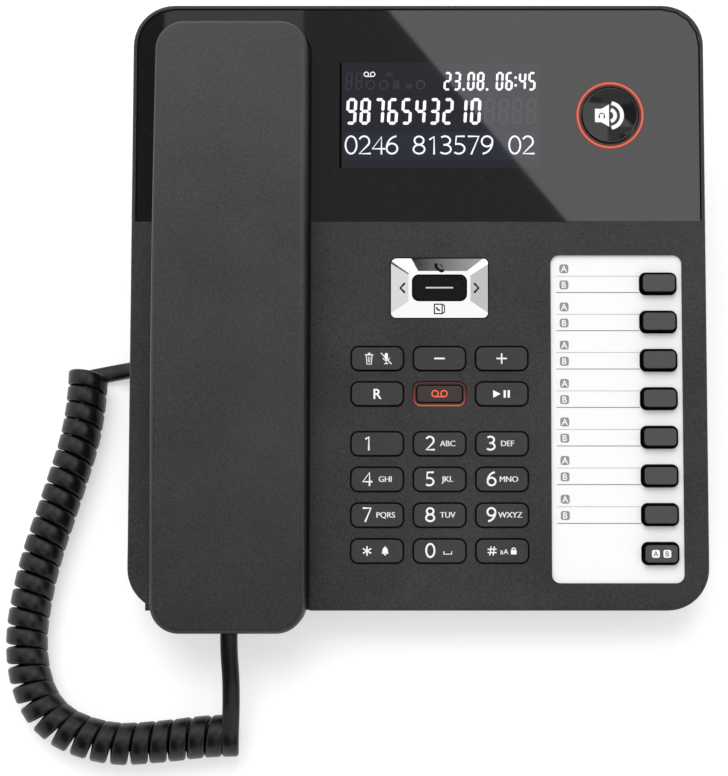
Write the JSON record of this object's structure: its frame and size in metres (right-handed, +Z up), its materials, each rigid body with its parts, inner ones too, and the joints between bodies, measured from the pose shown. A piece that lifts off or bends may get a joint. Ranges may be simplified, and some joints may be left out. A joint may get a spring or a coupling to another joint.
{
  "type": "corded desk telephone",
  "caption": "Corded desk telephone: sloping base with gloss display panel, keypad, chrome navigation plate and direct-dial keys, lift-off handset in a cradle and curly cord.",
  "frame": {"origin": "on the table under the middle of the base and handset box, the cord left out", "axes": "+X to the user's right, +Y away from the user, +Z up; the face leans back by 12 degrees"},
  "size_m": [0.2364, 0.2545, 0.0676],
  "materials": {
    "base_plastic": "fine matte grain",
    "handset_plastic": "fine matte grain",
    "key_plastic": "fine matte grain",
    "direct_key_plastic": "satin",
    "dark_gloss_plastic": "polished",
    "inner_plastic": "moulded",
    "window_plastic": "polished, darkly tinted",
    "display": "smooth",
    "lit_plastic": "translucent, lit from within",
    "chrome_plate": "polished",
    "label_paper": "plain white",
    "clear_plastic": "clear",
    "soft_rubber": "matte",
    "circuit_board": "solder resist",
    "speaker_metal": "zinc grey",
    "screw_steel": "zinc plated",
    "cord_sheath": "satin"
  },
  "bodies": {
    "base": {"upper_housing": "base_plastic", "lower_housing": "base_plastic", "rear_stand": "base_plastic", "rubber_feet": "soft_rubber", "housing_screws": "screw_steel", "display_window": "window_plastic", "display_module": "display", "talk_light_ring": "lit_plastic", "message_light_frame": "lit_plastic", "key_mat": "soft_rubber", "main_board": "circuit_board", "label_card": "label_paper", "label_cover": "clear_plastic", "loudspeaker": "speaker_metal", "base_microphone": "speaker_metal", "hook_switch": "inner_plastic", "line_jack": "inner_plastic", "power_jack": "inner_plastic", "base_cord_jack": "inner_plastic", "base_cord_plug": "clear_plastic", "cord_base_tail": "cord_sheath", "cord_curls": "cord_sheath", "cord_handset_tail": "cord_sheath"},
    "handset": {"handset_outer_shell": "handset_plastic", "handset_inner_shell": "handset_plastic", "earpiece_capsule": "speaker_metal", "handset_microphone": "speaker_metal", "handset_cord_jack": "inner_plastic", "handset_cord_plug": "clear_plastic"},
    "hook_plunger": {"hook_plunger": "inner_plastic"},
    "talk_key": {"talk_key": "dark_gloss_plastic"},
    "nav_carrier": {"nav_carrier": "inner_plastic"},
    "nav_plate": {"nav_plate": "chrome_plate"},
    "nav_centre_key": {"nav_centre_key": "dark_gloss_plastic"},
    "key_delete": {"key_delete": "key_plastic"},
    "key_volume_down": {"key_volume_down": "key_plastic"},
    "key_volume_up": {"key_volume_up": "key_plastic"},
    "key_recall": {"key_recall": "key_plastic"},
    "key_message": {"key_message": "key_plastic"},
    "key_play": {"key_play": "key_plastic"},
    "key_1": {"key_1": "key_plastic"},
    "key_2": {"key_2": "key_plastic"},
    "key_3": {"key_3": "key_plastic"},
    "key_4": {"key_4": "key_plastic"},
    "key_5": {"key_5": "key_plastic"},
    "key_6": {"key_6": "key_plastic"},
    "key_7": {"key_7": "key_plastic"},
    "key_8": {"key_8": "key_plastic"},
    "key_9": {"key_9": "key_plastic"},
    "key_star": {"key_star": "key_plastic"},
    "key_0": {"key_0": "key_plastic"},
    "key_hash": {"key_hash": "key_plastic"},
    "direct_key_1": {"direct_key_1": "direct_key_plastic"},
    "direct_key_2": {"direct_key_2": "direct_key_plastic"},
    "direct_key_3": {"direct_key_3": "direct_key_plastic"},
    "direct_key_4": {"direct_key_4": "direct_key_plastic"},
    "direct_key_5": {"direct_key_5": "direct_key_plastic"},
    "direct_key_6": {"direct_key_6": "direct_key_plastic"},
    "direct_key_7": {"direct_key_7": "direct_key_plastic"},
    "direct_key_8": {"direct_key_8": "direct_key_plastic"}
  },
  "joints": [
    {"name": "handset_lift", "type": "slide", "parent": "base", "child": "handset", "axis": [0, -0.2079, 0.9781], "range_m": [0, 0.06]},
    {"name": "hook_rise", "type": "slide", "parent": "base", "child": "hook_plunger", "axis": [0, -0.2079, 0.9781], "range_m": [0, 0.0035]},
    {"name": "talk_key_press", "type": "slide", "parent": "base", "child": "talk_key", "axis": [0, 0.2079, -0.9781], "range_m": [0, 0.0012], "stiffness_N_per_m": 400, "springref_m": -0.001},
    {"name": "nav_tip_front_back", "type": "hinge", "parent": "base", "child": "nav_carrier", "pos_m": [0.0071, 0.00779, 0.03681], "axis": [1, 0, 0], "range_deg": [-2, 2], "stiffness_Nm_per_rad": 0.1},
    {"name": "nav_tip_sideways", "type": "hinge", "parent": "nav_carrier", "child": "nav_plate", "pos_m": [0.0071, 0.00733, 0.03896], "axis": [0, 0.9781, 0.2079], "range_deg": [-2, 2], "stiffness_Nm_per_rad": 0.1},
    {"name": "nav_centre_press", "type": "slide", "parent": "base", "child": "nav_centre_key", "axis": [0, 0.2079, -0.9781], "range_m": [0, 0.0009], "stiffness_N_per_m": 400, "springref_m": -0.001},
    {"name": "key_delete_press", "type": "slide", "parent": "base", "child": "key_delete", "axis": [0, 0.2079, -0.9781], "range_m": [0, 0.0012], "stiffness_N_per_m": 400, "springref_m": -0.001},
    {"name": "key_volume_down_press", "type": "slide", "parent": "base", "child": "key_volume_down", "axis": [0, 0.2079, -0.9781], "range_m": [0, 0.0012], "stiffness_N_per_m": 400, "springref_m": -0.001},
    {"name": "key_volume_up_press", "type": "slide", "parent": "base", "child": "key_volume_up", "axis": [0, 0.2079, -0.9781], "range_m": [0, 0.0012], "stiffness_N_per_m": 400, "springref_m": -0.001},
    {"name": "key_recall_press", "type": "slide", "parent": "base", "child": "key_recall", "axis": [0, 0.2079, -0.9781], "range_m": [0, 0.0012], "stiffness_N_per_m": 400, "springref_m": -0.001},
    {"name": "key_message_press", "type": "slide", "parent": "base", "child": "key_message", "axis": [0, 0.2079, -0.9781], "range_m": [0, 0.0012], "stiffness_N_per_m": 400, "springref_m": -0.001},
    {"name": "key_play_press", "type": "slide", "parent": "base", "child": "key_play", "axis": [0, 0.2079, -0.9781], "range_m": [0, 0.0012], "stiffness_N_per_m": 400, "springref_m": -0.001},
    {"name": "key_1_press", "type": "slide", "parent": "base", "child": "key_1", "axis": [0, 0.2079, -0.9781], "range_m": [0, 0.0012], "stiffness_N_per_m": 400, "springref_m": -0.001},
    {"name": "key_2_press", "type": "slide", "parent": "base", "child": "key_2", "axis": [0, 0.2079, -0.9781], "range_m": [0, 0.0012], "stiffness_N_per_m": 400, "springref_m": -0.001},
    {"name": "key_3_press", "type": "slide", "parent": "base", "child": "key_3", "axis": [0, 0.2079, -0.9781], "range_m": [0, 0.0012], "stiffness_N_per_m": 400, "springref_m": -0.001},
    {"name": "key_4_press", "type": "slide", "parent": "base", "child": "key_4", "axis": [0, 0.2079, -0.9781], "range_m": [0, 0.0012], "stiffness_N_per_m": 400, "springref_m": -0.001},
    {"name": "key_5_press", "type": "slide", "parent": "base", "child": "key_5", "axis": [0, 0.2079, -0.9781], "range_m": [0, 0.0012], "stiffness_N_per_m": 400, "springref_m": -0.001},
    {"name": "key_6_press", "type": "slide", "parent": "base", "child": "key_6", "axis": [0, 0.2079, -0.9781], "range_m": [0, 0.0012], "stiffness_N_per_m": 400, "springref_m": -0.001},
    {"name": "key_7_press", "type": "slide", "parent": "base", "child": "key_7", "axis": [0, 0.2079, -0.9781], "range_m": [0, 0.0012], "stiffness_N_per_m": 400, "springref_m": -0.001},
    {"name": "key_8_press", "type": "slide", "parent": "base", "child": "key_8", "axis": [0, 0.2079, -0.9781], "range_m": [0, 0.0012], "stiffness_N_per_m": 400, "springref_m": -0.001},
    {"name": "key_9_press", "type": "slide", "parent": "base", "child": "key_9", "axis": [0, 0.2079, -0.9781], "range_m": [0, 0.0012], "stiffness_N_per_m": 400, "springref_m": -0.001},
    {"name": "key_star_press", "type": "slide", "parent": "base", "child": "key_star", "axis": [0, 0.2079, -0.9781], "range_m": [0, 0.0012], "stiffness_N_per_m": 400, "springref_m": -0.001},
    {"name": "key_0_press", "type": "slide", "parent": "base", "child": "key_0", "axis": [0, 0.2079, -0.9781], "range_m": [0, 0.0012], "stiffness_N_per_m": 400, "springref_m": -0.001},
    {"name": "key_hash_press", "type": "slide", "parent": "base", "child": "key_hash", "axis": [0, 0.2079, -0.9781], "range_m": [0, 0.0012], "stiffness_N_per_m": 400, "springref_m": -0.001},
    {"name": "direct_key_1_press", "type": "slide", "parent": "base", "child": "direct_key_1", "axis": [0, 0.2079, -0.9781], "range_m": [0, 0.0012], "stiffness_N_per_m": 400, "springref_m": -0.001},
    {"name": "direct_key_2_press", "type": "slide", "parent": "base", "child": "direct_key_2", "axis": [0, 0.2079, -0.9781], "range_m": [0, 0.0012], "stiffness_N_per_m": 400, "springref_m": -0.001},
    {"name": "direct_key_3_press", "type": "slide", "parent": "base", "child": "direct_key_3", "axis": [0, 0.2079, -0.9781], "range_m": [0, 0.0012], "stiffness_N_per_m": 400, "springref_m": -0.001},
    {"name": "direct_key_4_press", "type": "slide", "parent": "base", "child": "direct_key_4", "axis": [0, 0.2079, -0.9781], "range_m": [0, 0.0012], "stiffness_N_per_m": 400, "springref_m": -0.001},
    {"name": "direct_key_5_press", "type": "slide", "parent": "base", "child": "direct_key_5", "axis": [0, 0.2079, -0.9781], "range_m": [0, 0.0012], "stiffness_N_per_m": 400, "springref_m": -0.001},
    {"name": "direct_key_6_press", "type": "slide", "parent": "base", "child": "direct_key_6", "axis": [0, 0.2079, -0.9781], "range_m": [0, 0.0012], "stiffness_N_per_m": 400, "springref_m": -0.001},
    {"name": "direct_key_7_press", "type": "slide", "parent": "base", "child": "direct_key_7", "axis": [0, 0.2079, -0.9781], "range_m": [0, 0.0012], "stiffness_N_per_m": 400, "springref_m": -0.001},
    {"name": "direct_key_8_press", "type": "slide", "parent": "base", "child": "direct_key_8", "axis": [0, 0.2079, -0.9781], "range_m": [0, 0.0012], "stiffness_N_per_m": 400, "springref_m": -0.001}
  ],
  "couplings": [
    {"joint": "hook_rise", "follows": "handset_lift", "ratio": 0.058333}
  ]
}
